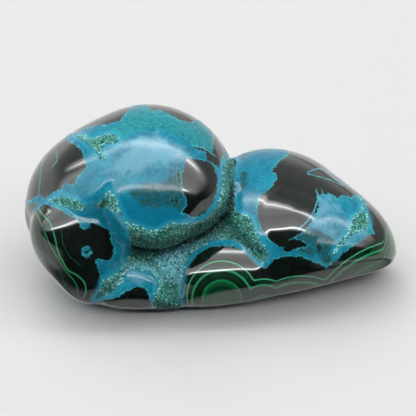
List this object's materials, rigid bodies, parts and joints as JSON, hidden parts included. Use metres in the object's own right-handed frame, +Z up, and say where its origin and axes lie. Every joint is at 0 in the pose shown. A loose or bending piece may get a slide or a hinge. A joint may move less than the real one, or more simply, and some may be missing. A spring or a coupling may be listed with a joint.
{
  "type": "chrysocolla specimen",
  "caption": "Hand-polished freeform mineral stone of rounded lobes round a crystal-lined hollow, with a flat underside to rest on.",
  "frame": {"origin": "under the middle of the bounding box, at the height of the flat underside", "axes": "+Z up, +X along the stone's length towards its pointed end, -Y towards the side with the hollow"},
  "size_m": [0.0937, 0.0499, 0.0455],
  "materials": {
    "polished_stone": "polished blue-green chrysocolla with black patches and thin green malachite bands",
    "crystal_crust": "unpolished blue-green crust of small sparkling crystals"
  },
  "bodies": {
    "root": {"polished_stone": "polished_stone", "crystal_crust": "crystal_crust"}
  },
  "joints": []
}
